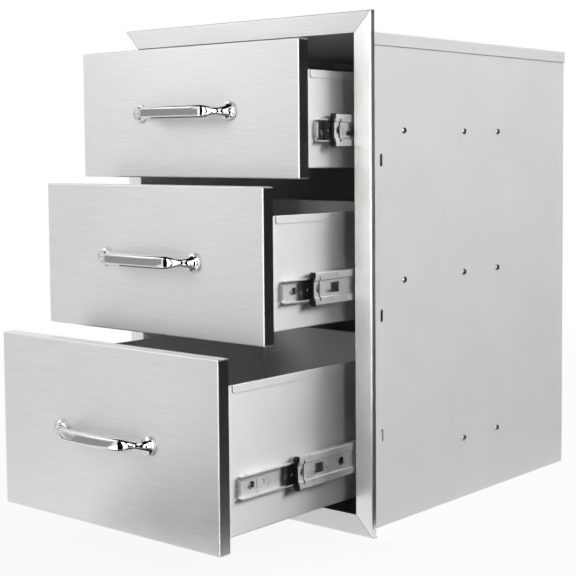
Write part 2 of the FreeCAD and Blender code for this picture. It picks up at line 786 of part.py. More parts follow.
def handle_bar():
    # the bar's sections from one foot over the bow to the other
    end = handle_spacing / 2
    full = (bar_height / 2, bar_depth / 2, bar_facet / 2, bar_crown)
    slim = round_section(neck_radii[-1])
    half = []
    for inset, reach, lean, radius in zip(neck_insets, neck_reaches, neck_leans, neck_radii):
        half.append((end - inset, reach, lean, round_section(radius)))
    for inset, reach, lean, share in zip(shoulder_insets, shoulder_reaches, shoulder_leans, shoulder_fullness):
        sizes = [a + (b - a) * share for a, b in zip(slim, full)]
        half.append((end - inset, reach, lean, sizes))
    bow_end = end - bar_bow_inset
    for share in (1.0, 0.67, 0.33):
        lean = math.degrees(2 * bar_bow * share / bow_end)
        half.append((bow_end * share, bar_reach - bar_bow * share ** 2, lean, full))
    wires = [bar_section(-x, reach, -lean, *sizes) for x, reach, lean, sizes in half]
    wires.append(bar_section(0.0, bar_reach, 0.0, *full))
    wires += [bar_section(x, reach, lean, *sizes) for x, reach, lean, sizes in reversed(half)]
    return Part.makeLoft(wires, True, False)


def handle_foot(x):
    # a round plate with an eased front edge
    foot = rod(foot_diameter / 2, foot_thickness, (x, -foot_thickness, 0), (0, 1, 0))
    rim = [edge for edge in foot.Edges if edge.BoundBox.YMax < -foot_thickness + 1e-6]
    return foot.makeFillet(foot_edge_radius, rim)


def handle(drawer):
    pull = handle_bar()
    for x in (-handle_spacing / 2, handle_spacing / 2):
        pull = pull.fuse(handle_foot(x))
    radius = handle_screw_diameter / 2 + fastener_clearance
    depth = handle_screw_grip + handle_hole_spare
    for x in (-handle_spacing / 2, handle_spacing / 2):
        pull = pull.cut(rod(radius, depth, (x, -depth, 0), (0, 1, 0)))
    return moved(pull, 0.0, front_y, front_centre(drawer))


def shifted(solids, pull):
    return [moved(solid, 0.0, -pull, 0.0) for solid in solids]


def both_sides(solids):
    return solids + [mirrored(solid) for solid in solids]


def keep_drawer(drawer):
    name = drawer["name"]
    pull = drawer["pulled"]
    skin, liner = drawer_front(drawer)
    keep("front_skin_" + name, *shifted([skin], pull))
    keep("front_liner_" + name, *shifted([liner], pull))
    keep("handle_" + name, *shifted([handle(drawer)], pull))
    keep("handle_screws_" + name, *shifted(handle_screws(drawer), pull))
    keep("tub_" + name, *shifted([drawer_tub(drawer)], pull))
    keep("tub_back_" + name, *shifted([tub_back(drawer)], pull))
    inner = inner_rail(drawer)
    keep("inner_rail_right_" + name, *shifted([inner], pull))
    keep("inner_rail_left_" + name, *shifted([mirrored(inner)], pull))
    keep("rail_screws_" + name, *shifted(rail_screws(drawer), pull))
    middle_pull = drawer["middle_share"] * pull
    middle = middle_rail(drawer)
    keep("middle_rail_right_" + name, *shifted([middle], middle_pull))
    keep("middle_rail_left_" + name, *shifted([mirrored(middle)], middle_pull))
    keep("rail_stops_" + name, *shifted(both_sides([rail_stop(drawer)]), middle_pull))
    outer = outer_rail(drawer)
    keep("outer_rail_right_" + name, outer)
    keep("outer_rail_left_" + name, mirrored(outer))
    # each cage rolls half as far as the two members beside it together
    outer_cage, inner_cage = ball_cages(drawer)
    keep("outer_ball_cages_" + name, *shifted(both_sides(outer_cage), middle_pull / 2))
    keep("inner_ball_cages_" + name, *shifted(both_sides(inner_cage), (middle_pull + pull) / 2))


frame_rails()
side_panels()
top_cover()
bottom_panel()
back_panel()
cabinet_rivets()
for drawer_row in drawers:
    keep_drawer(drawer_row)

os.makedirs("parts", exist_ok=True)
for node, pieces in node_shapes.items():
    shape = pieces[0] if len(pieces) == 1 else Part.makeCompound(pieces)
    shape.exportStep("parts/" + node + ".step")
    print(node, len(shape.Solids), round(shape.Volume), shape.isValid())
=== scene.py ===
import math

import bmesh
import bpy
from mathutils import Matrix, Vector


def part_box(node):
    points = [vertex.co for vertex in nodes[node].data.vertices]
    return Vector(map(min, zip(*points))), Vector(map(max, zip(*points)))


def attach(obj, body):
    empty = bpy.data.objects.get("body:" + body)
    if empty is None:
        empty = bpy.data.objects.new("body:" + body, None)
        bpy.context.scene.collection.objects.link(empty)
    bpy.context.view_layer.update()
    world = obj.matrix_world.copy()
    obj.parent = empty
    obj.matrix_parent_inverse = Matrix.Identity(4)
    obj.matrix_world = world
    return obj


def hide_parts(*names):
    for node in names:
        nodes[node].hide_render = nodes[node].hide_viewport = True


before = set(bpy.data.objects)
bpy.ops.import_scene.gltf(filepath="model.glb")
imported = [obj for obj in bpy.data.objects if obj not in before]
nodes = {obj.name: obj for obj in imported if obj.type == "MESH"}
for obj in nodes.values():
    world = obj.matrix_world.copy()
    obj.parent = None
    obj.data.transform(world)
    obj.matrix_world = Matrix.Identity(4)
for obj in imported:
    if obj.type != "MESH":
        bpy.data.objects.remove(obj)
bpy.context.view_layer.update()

mm = 0.001
drawerNames = ("bottom", "middle", "top")
scene = bpy.context.scene
scene.view_settings.view_transform = "Standard"


# Camera, at the photograph's angle

cameraView = {
    "place": (0.9745, -1.2247, 0.3881),
    "yaw": 39.2,  # degrees to the left of straight ahead
    "pitch": 3.83,  # degrees downwards
    "roll": -0.32,
    "focalPixels": 1316.7,
    "centrePixel": (344.3, 238.5),
    "imagePixels": 576,
    "sensorWidth": 36.0,  # millimetres, as Blender counts a lens
    "nearestSeen": 0.01,
}


def placeCamera(view):
    yaw, pitch, roll = (math.radians(view[key]) for key in ("yaw", "pitch", "roll"))
    forward = Vector((-math.sin(yaw) * math.cos(pitch),
                      math.cos(yaw) * math.cos(pitch),
                      -math.sin(pitch)))
    level = Vector((math.cos(yaw), math.sin(yaw), 0.0))
    right = level * math.cos(roll) + level.cross(forward) * math.sin(roll)
    up = right.cross(forward)
    camera = bpy.data.objects.new("camera", bpy.data.cameras.new("camera"))
    scene.collection.objects.link(camera)
    turn = Matrix((right, up, -forward)).transposed().to_4x4()
    camera.matrix_world = Matrix.Translation(view["place"]) @ turn
    size = view["imagePixels"]
    camera.data.sensor_width = view["sensorWidth"]
    camera.data.lens = view["focalPixels"] * view["sensorWidth"] / size
    camera.data.shift_x = 0.5 - view["centrePixel"][0] / size
    camera.data.shift_y = view["centrePixel"][1] / size - 0.5
    camera.data.clip_start = view["nearestSeen"]
    scene.camera = camera


placeCamera(cameraView)
print("camera placed")


# Materials

# a Mix node's colours and their result go by number, because its other kinds share their names
mixFirst = 6
mixSecond = 7
mixResult = 2


def linear(colour):
    # an sRGB hex value as linear light
    parts = [int(colour[i:i + 2], 16) / 255 for i in (1, 3, 5)]
    return [p / 12.92 if p <= 0.04045 else ((p + 0.055) / 1.055) ** 2.4 for p in parts] + [1.0]


def addNode(tree, kind, settings, links=()):
    # a node with its settings, sockets by name or number, and what feeds it
    node = tree.nodes.new(kind)
    for key, value in settings.items():
        if isinstance(key, int) or key in node.inputs:
            node.inputs[key].default_value = value
        else:
            setattr(node, key, value)
    for key, socket in dict(links).items():
        tree.links.new(socket, node.inputs[key])
    return node


def newMaterial(name):
    material = bpy.data.materials.new(name)
    material.use_nodes = True
    tree = material.node_tree
    tree.nodes.clear()
    return material, tree


def objectPattern(tree, size):
    # object coordinates counted in pattern cells of the given size in metres
    place = addNode(tree, "ShaderNodeTexCoord", {})
    return addNode(tree, "ShaderNodeMapping", {"Scale": [1 / s for s in size]},
                   {"Vector": place.outputs["Object"]}).outputs["Vector"]


def spread(tree, socket, low, high, fromLow=0.3, fromHigh=0.7):
    # a value's range mapped to low and high, at first the range that a noise mostly stays in
    return addNode(tree, "ShaderNodeMapRange",
                   {"From Min": fromLow, "From Max": fromHigh, "To Min": low, "To Max": high},
                   {"Value": socket}).outputs["Result"]


def colourBetween(tree, factor, dark, light):
    return addNode(tree, "ShaderNodeMix",
                   {"data_type": "RGBA", mixFirst: linear(dark), mixSecond: linear(light)},
                   {0: factor}).outputs[mixResult]


def finishMaterial(tree, settings, links):
    shader = addNode(tree, "ShaderNodeBsdfPrincipled", settings, links)
    addNode(tree, "ShaderNodeOutputMaterial", {}, {"Surface": shader.outputs[0]})


# AISI 304 stainless sheet, belt-ground to a number 4 finish: long fine scratches that blur
# reflections across the grain and leave faint lighter and darker streaks.
brushedFinish = {
    "dark": "#d8d8d6",
    "light": "#ecebe9",
    "streakWidth": 1.0 * mm,  # real scratches are 0.05 to 0.2 mm, drawn wide enough to show
    "streakLength": 60 * mm,
    "fineWidth": 0.45 * mm,
    "fineLength": 20 * mm,
    "cloudSize": 160 * mm,
    "scratchShare": 0.4,  # what the streaks and the fine scratches each add to the shade
    "cloudShare": 0.2,
    "roughness": (0.33, 0.44),
    "scratchDepth": 0.010 * mm,
    "scratchStrength": 0.35,
    "anisotropic": 0.8,
    "roundTurn": 0.01,  # enough to give a face across the grain a direction, and no more
}

# the hairline where the frame's rails meet, ground flush after welding
mitre = {
    "halfWidth": 177.5 * mm,
    "height": 525.0 * mm,
    "fullWithin": 0.27 * mm,  # a real seam is finer, and would not show
    "goneBeyond": 0.63 * mm,
    "lineShade": "#8a8a88",
}


def mitreSeams(tree, colour, size):
    # darkens the two diagonals that run in from each outer corner
    place = addNode(tree, "ShaderNodeTexCoord", {})
    axes = addNode(tree, "ShaderNodeSeparateXYZ", {}, {0: place.outputs["Object"]})
    sideways = addNode(tree, "ShaderNodeMath", {"operation": "ABSOLUTE"}, {0: axes.outputs["X"]})
    fromSide = addNode(tree, "ShaderNodeMath", {"operation": "SUBTRACT", 0: size["halfWidth"]},
                       {1: sideways.outputs[0]})
    fromTop = addNode(tree, "ShaderNodeMath", {"operation": "SUBTRACT", 0: size["height"]},
                      {1: axes.outputs["Z"]})
    fromEnd = addNode(tree, "ShaderNodeMath", {"operation": "MINIMUM"},
                      {0: fromTop.outputs[0], 1: axes.outputs["Z"]})
    offset = addNode(tree, "ShaderNodeMath", {"operation": "SUBTRACT"},
                     {0: fromSide.outputs[0], 1: fromEnd.outputs[0]})
    away = addNode(tree, "ShaderNodeMath", {"operation": "ABSOLUTE"}, {0: offset.outputs[0]})
    seam = spread(tree, away.outputs[0], 1.0, 0.0, size["fullWithin"], size["goneBeyond"])
    return addNode(tree, "ShaderNodeMix",
                   {"data_type": "RGBA", mixSecond: linear(size["lineShade"])},
                   {0: seam, mixFirst: colour}).outputs[mixResult]


def brushedStainless(name, along, finish, seams=None):
    # along is the grain's direction, 0 for X and 2 for Z
    material, tree = newMaterial(name)

    def cells(width, length):
        size = [width, width, width]
        size[along] = length
        return objectPattern(tree, size)

    streaks = addNode(tree, "ShaderNodeTexNoise", {"Scale": 1.0, "Detail": 3.0},
                      {"Vector": cells(finish["streakWidth"], finish["streakLength"])})
    fine = addNode(tree, "ShaderNodeTexNoise", {"Scale": 1.0, "Detail": 2.0},
                   {"Vector": cells(finish["fineWidth"], finish["fineLength"])})
    clouds = addNode(tree, "ShaderNodeTexNoise", {"Scale": 1.0, "Detail": 1.0},
                     {"Vector": objectPattern(tree, [finish["cloudSize"]] * 3)})
    both = addNode(tree, "ShaderNodeMath", {"operation": "ADD"},
                   {0: streaks.outputs[0], 1: fine.outputs[0]})
    scratched = addNode(tree, "ShaderNodeMath",
                        {"operation": "MULTIPLY", 1: finish["scratchShare"]}, {0: both.outputs[0]})
    shade = addNode(tree, "ShaderNodeMath", {"operation": "MULTIPLY_ADD", 1: finish["cloudShare"]},
                    {0: clouds.outputs[0], 2: scratched.outputs[0]})
    share = spread(tree, shade.outputs[0], 0.0, 1.0)
    colour = colourBetween(tree, share, finish["dark"], finish["light"])
    if seams:
        colour = mitreSeams(tree, colour, seams)
    low, high = finish["roughness"]
    rough = spread(tree, fine.outputs[0], low, high)
    bump = addNode(tree, "ShaderNodeBump",
                   {"Strength": finish["scratchStrength"], "Distance": finish["scratchDepth"]},
                   {"Height": both.outputs[0]})
    # the scratches spread a reflection across themselves, so its long way is square to the grain
    grain = [0.0, 0.0, 0.0]
    grain[along] = 1.0
    facing = addNode(tree, "ShaderNodeNewGeometry", {})
    square = addNode(tree, "ShaderNodeVectorMath", {"operation": "CROSS_PRODUCT", 1: grain},
                     {0: facing.outputs["Normal"]})
    # round a bend the grain turns with the sheet, so faces across it take this direction
    rounded = [0.0, 0.0, 0.0]
    rounded[2 - along] = finish["roundTurn"]
    across = addNode(tree, "ShaderNodeVectorMath", {"operation": "ADD", 1: rounded},
                     {0: square.outputs[0]})
    finishMaterial(tree, {"Metallic": 1.0, "Anisotropic": finish["anisotropic"]},
                   {"Base Color": colour, "Roughness": rough, "Normal": bump.outputs[0],
                    "Tangent": across.outputs[0]})
    return material


# Cold-rolled steel sheet with a mill finish: matt and even, with faint cloudy rolling marks.
millFinish = {
    "dark": "#d9d9d8",
    "light": "#dfdfde",
    "cloudSize": 90 * mm,
    "grainSize": 0.8 * mm,  # a real roll's grain is 0.1 mm and finer, drawn coarser to show
    "grainShare": 0.4,
    "shadeRange": (0.5, 0.9),
    "roughness": (0.50, 0.58),
    "metallic": 0.05,
    "specular": 0.5,
    "grainDepth": 0.01 * mm,
    "grainStrength": 0.3,
}


def milledSheet(name, finish):
    material, tree = newMaterial(name)
    clouds = addNode(tree, "ShaderNodeTexNoise", {"Scale": 1.0, "Detail": 4.0, "Roughness": 0.6},
                     {"Vector": objectPattern(tree, [finish["cloudSize"]] * 3)})
    grain = addNode(tree, "ShaderNodeTexNoise", {"Scale": 1.0, "Detail": 2.0},
                    {"Vector": objectPattern(tree, [finish["grainSize"]] * 3)})
    both = addNode(tree, "ShaderNodeMath", {"operation": "MULTIPLY_ADD", 1: finish["grainShare"]},
                   {0: grain.outputs[0], 2: clouds.outputs[0]})
    share = spread(tree, both.outputs[0], 0.0, 1.0, *finish["shadeRange"])
    colour = colourBetween(tree, share, finish["dark"], finish["light"])
    low, high = finish["roughness"]
    rough = spread(tree, clouds.outputs[0], low, high)
    bump = addNode(tree, "ShaderNodeBump",
                   {"Strength": finish["grainStrength"], "Distance": finish["grainDepth"]},
                   {"Height": grain.outputs[0]})
    finishMaterial(tree, {"Metallic": finish["metallic"], "Specular IOR Level": finish["specular"]},
                   {"Base Color": colour, "Roughness": rough, "Normal": bump.outputs[0]})
    return material


# Bright-rolled steel sheet of the drawer tubs: smoother and paler than the cabinet's.
tubFinish = dict(millFinish, dark="#eeeeed", light="#f6f6f5", roughness=(0.38, 0.46),
                 metallic=0.0, specular=0.25)

# Electroplated zinc on pressed steel rails: bright and a little blue, with soft mottling.
zincFinish = dict(millFinish, dark="#dededf", light="#f2f2f2", roughness=(0.24, 0.36),
                  metallic=0.18, cloudSize=22 * mm, grainSize=0.5 * mm)

# Plain pressed steel of the cages and their bearing balls: dark under a film of grease.
cageFinish = dict(millFinish, dark="#30302f", light="#4c4c4a", roughness=(0.25, 0.40),
                  metallic=1.0, cloudSize=9 * mm, grainSize=0.4 * mm)

# Domed steel rivet heads, set cold and left bright: each has a small round highlight.
rivetFinish = dict(millFinish, dark="#b4b4b3", light="#dcdcdb", roughness=(0.22, 0.34),
                   metallic=1.0, cloudSize=3 * mm, grainSize=0.4 * mm)

# Nickel-plated steel screws: bright and a little warmer than the zinc round them.
screwFinish = dict(millFinish, dark="#a3a29e", light="#c9c8c4", roughness=(0.20, 0.32),
                   metallic=1.0, cloudSize=3 * mm, grainSize=0.4 * mm)

# Decorative chromium plate over a polished zinc casting: a mirror with a slight ripple.
chromeFinish = {
    "dark": "#d6d7d8",
    "light": "#dedfe0",
    "rippleSize": 14 * mm,
    "rippleDepth": 0.004 * mm,
    "rippleStrength": 0.25,
    "wearSize": 2.5 * mm,
    "roughness": (0.03, 0.07),
}


def chromePlate(name, finish):
    material, tree = newMaterial(name)
    ripple = addNode(tree, "ShaderNodeTexNoise", {"Scale": 1.0, "Detail": 1.0},
                     {"Vector": objectPattern(tree, [finish["rippleSize"]] * 3)})
    wear = addNode(tree, "ShaderNodeTexNoise", {"Scale": 1.0, "Detail": 4.0},
                   {"Vector": objectPattern(tree, [finish["wearSize"]] * 3)})
    share = spread(tree, wear.outputs[0], 0.0, 1.0)
    colour = colourBetween(tree, share, finish["dark"], finish["light"])
    low, high = finish["roughness"]
    rough = spread(tree, wear.outputs[0], low, high)
    bump = addNode(tree, "ShaderNodeBump",
                   {"Strength": finish["rippleStrength"], "Distance": finish["rippleDepth"]},
                   {"Height": ripple.outputs[0]})
    finishMaterial(tree, {"Metallic": 1.0},
                   {"Base Color": colour, "Roughness": rough, "Normal": bump.outputs[0]})
    return material


# Moulded black nylon of the rail stops: deep grey with a fine moulded grain.
nylonFinish = {
    "dark": "#080808",
    "light": "#121212",
    "grainSize": 0.7 * mm,  # the mould's real grain is about 0.1 mm, drawn coarser to show
    "grainDepth": 0.03 * mm,
    "grainStrength": 0.4,
    "roughness": (0.38, 0.52),
    "ior": 1.53,
    "specular": 0.3,
}


def mouldedNylon(name, finish):
    material, tree = newMaterial(name)
    grain = addNode(tree, "ShaderNodeTexNoise", {"Scale": 1.0, "Detail": 3.0},
                    {"Vector": objectPattern(tree, [finish["grainSize"]] * 3)})
    share = spread(tree, grain.outputs[0], 0.0, 1.0)
    colour = colourBetween(tree, share, finish["dark"], finish["light"])
    low, high = finish["roughness"]
    rough = spread(tree, grain.outputs[0], low, high)
    bump = addNode(tree, "ShaderNodeBump",
                   {"Strength": finish["grainStrength"], "Distance": finish["grainDepth"]},
                   {"Height": grain.outputs[0]})
    finishMaterial(tree, {"IOR": finish["ior"], "Specular IOR Level": finish["specular"]},
                   {"Base Color": colour, "Roughness": rough, "Normal": bump.outputs[0]})
    return material


brushedLevel = brushedStainless("brushedStainlessLevel", 0, brushedFinish)
frameLevel = brushedStainless("frameStainlessLevel", 0, brushedFinish, mitre)
frameUpright = brushedStainless("frameStainlessUpright", 2, brushedFinish, mitre)
cabinetSheet = milledSheet("millFinishedSheet", millFinish)
tubSheet = milledSheet("brightRolledSheet", tubFinish)
zincPlate = milledSheet("zincPlate", zincFinish)
cageSteel = milledSheet("greasedSteel", cageFinish)
rivetSteel = milledSheet("rivetSteel", rivetFinish)
screwSteel = milledSheet("nickelPlatedSteel", screwFinish)
chrome = chromePlate("chromePlate", chromeFinish)
blackNylon = mouldedNylon("blackNylon", nylonFinish)
print("materials made")


def dress(material, *names):
    for name in names:
        for slot in nodes[name].material_slots:
            slot.material = material


dress(frameLevel, "frame_top_rail", "frame_bottom_rail")
dress(frameUpright, "frame_left_stile", "frame_right_stile")
dress(cabinetSheet, "left_side_panel", "right_side_panel", "top_cover", "bottom_panel",
      "back_panel", "cover_rivets")
dress(rivetSteel, "slide_rivets")
for drawer in drawerNames:
    dress(brushedLevel, "front_skin_" + drawer)
    dress(cabinetSheet, "front_liner_" + drawer)
    dress(tubSheet, "tub_" + drawer, "tub_back_" + drawer)
    dress(screwSteel, "handle_screws_" + drawer, "rail_screws_" + drawer)
    dress(chrome, "handle_" + drawer)
    dress(blackNylon, "rail_stops_" + drawer)
    dress(cageSteel, "outer_ball_cages_" + drawer, "inner_ball_cages_" + drawer)
    for side in ("left", "right"):
        for member in ("outer", "middle", "inner"):
            dress(zincPlate, "%s_rail_%s_%s" % (member, side, drawer))
print("frame dressed")


# Pulls, cast and chromed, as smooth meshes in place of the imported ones

pull = {
    "spacing": 128.0 * mm,
    "footRadius": 9.5 * mm,
    "footThickness": 2.5 * mm,
    "footEdge": 0.8 * mm,
    "footEdgeSteps": 4,
    "footChamfer": 0.3 * mm,  # where the foot meets the front
    "footTurns": 48,
    "halfHeight": 6.6 * mm,
    "halfDepth": 3.98 * mm,
    "halfFacet": 4.05 * mm,
    "crown": 0.05 * mm,
    # from the foot to the middle: mm inwards of the foot, mm out from the front, degrees of lean,
    # mm of radius while the neck is round, and how far the section has grown into the full bar
    "sections": (
        (0.0, 2.2, 90.0, 8.9, 0.0),
        (0.2, 2.8, 89.0, 7.9, 0.0),
        (0.5, 3.3, 85.0, 6.9, 0.0),
        (1.6, 4.4, 72.0, 5.6, 0.0),
        (4.4, 6.0, 52.0, 4.5, 0.0),
        (9.5, 7.9, 38.0, 3.7, 0.0),
        (16.0, 12.4, 31.0, 3.7, 0.5),
        (22.5, 15.6, 18.0, 3.7, 1.0),
        (32.0, 17.4, 3.6, 3.7, 1.0),
        (48.0, 18.15, 1.8, 3.7, 1.0),
        (64.0, 18.4, 0.0, 3.7, 1.0),
    ),
    "neckArc": 30,  # degrees up and down that the front arc takes while the neck is round
    "arcPoints": 12,  # of each of the section's four arcs
    "ringsBetween": 5,
    "mergeWithin": 0.02 * mm,
}


def finishPiece(name, mesh, material, body):
    data = bpy.data.meshes.new(name)
    mesh.to_mesh(data)
    mesh.free()
    for polygon in data.polygons:
        polygon.use_smooth = True
    data.materials.append(material)
    piece = bpy.data.objects.new(name, data)
    scene.collection.objects.link(piece)
    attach(piece, body)
    return piece


def arcThrough(side, top, share):
    # a point of the arc from (side, 0) over (0, top) to (-side, 0), measured from the chord
    radius = (side * side + top * top) / (2 * top)
    reach = math.atan2(side, radius - top)
    turn = reach * (1 - 2 * share)
    return Vector((radius * math.sin(turn), radius * math.cos(turn) - radius + top))


def sectionPoint(corner, share, sizes):
    # corner 0 is the front arc, then the top, the back and the bottom one
    halfHeight, halfDepth, halfFacet, crown = sizes
    chord = halfDepth - crown
    if corner % 2:
        across, up = arcThrough(chord, halfHeight - halfFacet, share)
        point = Vector((across, up + halfFacet))
    else:
        up, across = arcThrough(halfFacet, crown, 1 - share)
        point = Vector((across + chord, up))
    return point if corner < 2 else -point


def between(first, before, after, last, share):
    # a smooth curve through four numbers, read between the middle two
    a = (after - first) / 2
    b = (last - before) / 2
    c = after - before
    return before + share * (a + share * (3 * c - 2 * a - b + share * (a + b - 2 * c)))


def barStations(size):
    # the sections and smooth ones between them, from the foot to the bar's middle
    rows = size["sections"]
    inset, reach, lean, *others = rows[-2]
    pastMiddle = (2 * rows[-1][0] - inset, reach, -lean, *others)
    rows = (rows[0], *rows, pastMiddle)
    stations = []
    for i in range(1, len(rows) - 2):
        for step in range(size["ringsBetween"]):
            share = step / size["ringsBetween"]
            stations.append([between(*numbers, share) for numbers in zip(*rows[i - 1:i + 3])])
    return stations + [list(rows[-2])]


def stationSizes(radius, grown, size):
    side = math.radians(size["neckArc"])
    slim = (radius * mm, radius * mm,
            radius * mm * math.sin(side), radius * mm * (1 - math.cos(side)))
    full = (size["halfHeight"], size["halfDepth"], size["halfFacet"], size["crown"])
    grown = min(max(grown, 0.0), 1.0)
    return [a + (b - a) * grown for a, b in zip(slim, full)]


def addRing(mesh, side, station, size):
    inset, reach, lean, radius, grown = station
    sizes = stationSizes(radius, grown, size)
    angle = math.radians(lean) * side
    forward = Vector((math.sin(angle), -math.cos(angle), 0.0))
    centre = Vector((side * (size["spacing"] / 2 - inset * mm), -reach * mm, 0.0))
    count = size["arcPoints"]
    made = bmesh.ops.create_circle(mesh, segments=4 * count, radius=1.0)
    for i, vert in enumerate(made["verts"]):
        point = sectionPoint(i // count, (i % count) / count, sizes)
        vert.co = centre + forward * point.x + Vector((0.0, 0.0, point.y))
    return list({edge for vert in made["verts"] for edge in vert.link_edges})


def addBar(mesh, size):
    half = barStations(size)
    rings = [addRing(mesh, 1, station, size) for station in half]
    rings += [addRing(mesh, -1, station, size) for station in reversed(half[:-1])]
    for first, second in zip(rings, rings[1:]):
        bmesh.ops.bridge_loops(mesh, edges=first + second)
    for ring in (rings[0], rings[-1]):
        bmesh.ops.contextual_create(mesh, geom=ring)


def addFoot(mesh, x, size):
    # half the foot's section, spun about the screw
    radius = size["footRadius"]
    edge = size["footEdge"]
    top = size["footThickness"]
    chamfer = size["footChamfer"]
    steps = size["footEdgeSteps"]
    points = [(0.0, 0.0), (radius - chamfer, 0.0), (radius, chamfer)]
    for i in range(steps + 1):
        turn = math.radians(90.0) * i / steps
        points.append((radius - edge + edge * math.cos(turn), top - edge + edge * math.sin(turn)))
    points.append((0.0, top))
    verts = [mesh.verts.new((x + across, -out, 0.0)) for across, out in points]
    edges = [mesh.edges.new(pair) for pair in zip(verts, verts[1:])]
    bmesh.ops.spin(mesh, geom=verts + edges, cent=(x, 0.0, 0.0), axis=(0.0, 1.0, 0.0),
                   angle=math.radians(360.0), steps=size["footTurns"], use_merge=True)


def makePull(drawer, size):
    mesh = bmesh.new()
    addBar(mesh, size)
    for side in (-1, 1):
        addFoot(mesh, side * size["spacing"] / 2, size)
    bmesh.ops.remove_doubles(mesh, verts=mesh.verts, dist=size["mergeWithin"])
    bmesh.ops.recalc_face_normals(mesh, faces=mesh.faces)
    low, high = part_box("front_skin_" + drawer)
    bmesh.ops.translate(mesh, verts=mesh.verts, vec=(0.0, low.y, (low.z + high.z) / 2))
    piece = finishPiece("pull_" + drawer, mesh, chrome, "drawer_" + drawer)
    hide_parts("handle_" + drawer)


for drawer in drawerNames:
    makePull(drawer, pull)
print("pulls made")


# Floor, light and backdrop

studio = {
    "floorSize": 16.0,
    "floorColour": "#383838",
    "floorGlow": 0.93,  # lifts the floor to white for the camera and leaves the shadow
    "floorShine": 0.95,  # what polished metal sees of it
    "fadeStart": 0.75,  # the shadow's grey fades out between these distances
    "fadeEnd": 1.6,
    "worldStrength": 0.02,
}

# soft lamps aimed at one point: degrees from +X towards +Y, degrees up, distance, width and
# height, and strength, of which 1 renders a colour that faces the lamp as it is written
lampTarget = (0.0, 0.0, 0.26)
lamps = {
    "keyLamp": (56, 21, 5.0, (4.4, 1.8), 1.28),
    "leftLamp": (180, 20, 5.0, (2.0, 1.6), 0.50),
    "frontLamp": (-101, 6, 5.0, (1.2, 1.5), 0.35),
    "overheadLamp": (50, 80, 4.0, (2.5, 2.5), 0.15),
}

# a soft pool of light on the upper front of the cabinet's right side
pool = {
    "azimuth": 40,
    "elevation": 30,
    "distance": 2.0,
    "target": (0.16, -0.30, 0.42),
    "coneDegrees": 44,
    "softRadius": 0.60,
    "strength": 0.80,
}

# what only polished metal sees, turned about a point before the drawers: degrees from -Y
# towards -X, degrees up, distance, width and height, grey and strength
cardCentre = (0.0, -0.35, 0.30)
cards = {
    "greyBarHigh": (55, 6, 1.50, (2.30, 0.14), "#a4a4a4", 1.0),
    "greyBarLow": (55, -5, 1.50, (2.30, 0.14), "#a4a4a4", 1.0),
    "paleStrip": (36, 8, 1.80, (0.26, 1.40), "#c8c8c8", 1.0),
    "softboxLeft": (44, 30, 1.90, (1.80, 1.00), "#ffffff", 1.2),
    "brightStrip": (47, 30, 1.80, (0.45, 1.00), "#ffffff", 2.2),
    "canopy": (45, 72, 1.80, (2.60, 1.40), "#060606", 1.0),
    "whiteFront": (-16, 8, 1.70, (1.80, 1.50), "#ffffff", 6.0),
    "softboxFront": (-62, 10, 2.40, (0.90, 1.60), "#ffffff", 1.5),
    "darkScreenSide": (-98, 20, 2.30, (2.60, 3.00), "#060606", 1.0),
    "darkScreenRight": (-142, 24, 2.10, (5.00, 3.20), "#060606", 1.0),
}

# upright black strips close before the drawers, which draw dark lines in the pulls' necks:
# the two X that each stands between
flagPlane = -0.68
flagTop = 0.75
flagBlack = "#060606"
flags = {
    "flagMiddle": (-0.03, 0.10),
    "flagRight": (0.16, 0.20),
    "flagFarRight": (0.29, 0.40),
}

# a narrow flag beside the right stile that only throws shade: wider towards the floor, it
# lengthens the shadow that the stile draws on the lower tubs
shadeFlag = {
    "middle": (0.186, -0.200, 0.18),
    "size": (0.04, 0.36),
    "leanDegrees": -7.0,
}

# what only polished metal sees on the floor: middle, width and depth, turn in degrees, grey
# and strength
matHeight = 0.004
mats = {
    # the dark mat by the base is painted shade: it stands for the floor's shadow there, and only
    # the lower fronts' reflections show it
    "nearPaintedShadeMat": ((0.04, -0.53), (0.26, 0.16), 0, "#3a3a3a", 1.0),
    "facetMat": ((-0.40, -0.80), (0.80, 0.26), -47, "#a4a4a4", 1.0),
    "leftMat": ((-0.75, -0.60), (0.60, 0.40), -47, "#ffffff", 1.0),
    "frontMat": ((0.40, -1.30), (1.30, 1.10), 0, "#ffffff", 3.0),
    "rightMat": ((1.20, 0.50), (2.00, 2.60), 0, "#303030", 1.0),
}


white = linear("#ffffff")


def lightPath(tree, cameraValue, glossyValue):
    # one value where the camera looks and one where metal or glass does
    rays = addNode(tree, "ShaderNodeLightPath", {})
    polished = addNode(tree, "ShaderNodeMath", {"operation": "MAXIMUM"},
                       {0: rays.outputs["Is Glossy Ray"], 1: rays.outputs["Is Transmission Ray"]})
    seen = addNode(tree, "ShaderNodeMath", {"operation": "MULTIPLY", 1: glossyValue},
                   {0: polished.outputs[0]})
    return addNode(tree, "ShaderNodeMath", {"operation": "MULTIPLY_ADD", 1: cameraValue},
                   {0: rays.outputs["Is Camera Ray"], 2: seen.outputs[0]}).outputs[0]


def stagePlane(name, matrix, material):
    # a square of one metre under the matrix
    mesh = bmesh.new()
    bmesh.ops.create_grid(mesh, x_segments=1, y_segments=1, size=0.5)
    bmesh.ops.transform(mesh, verts=mesh.verts, matrix=matrix)
    data = bpy.data.meshes.new(name)
    mesh.to_mesh(data)
    mesh.free()
    data.materials.append(material)
    plane = bpy.data.objects.new(name, data)
    scene.collection.objects.link(plane)
    return plane


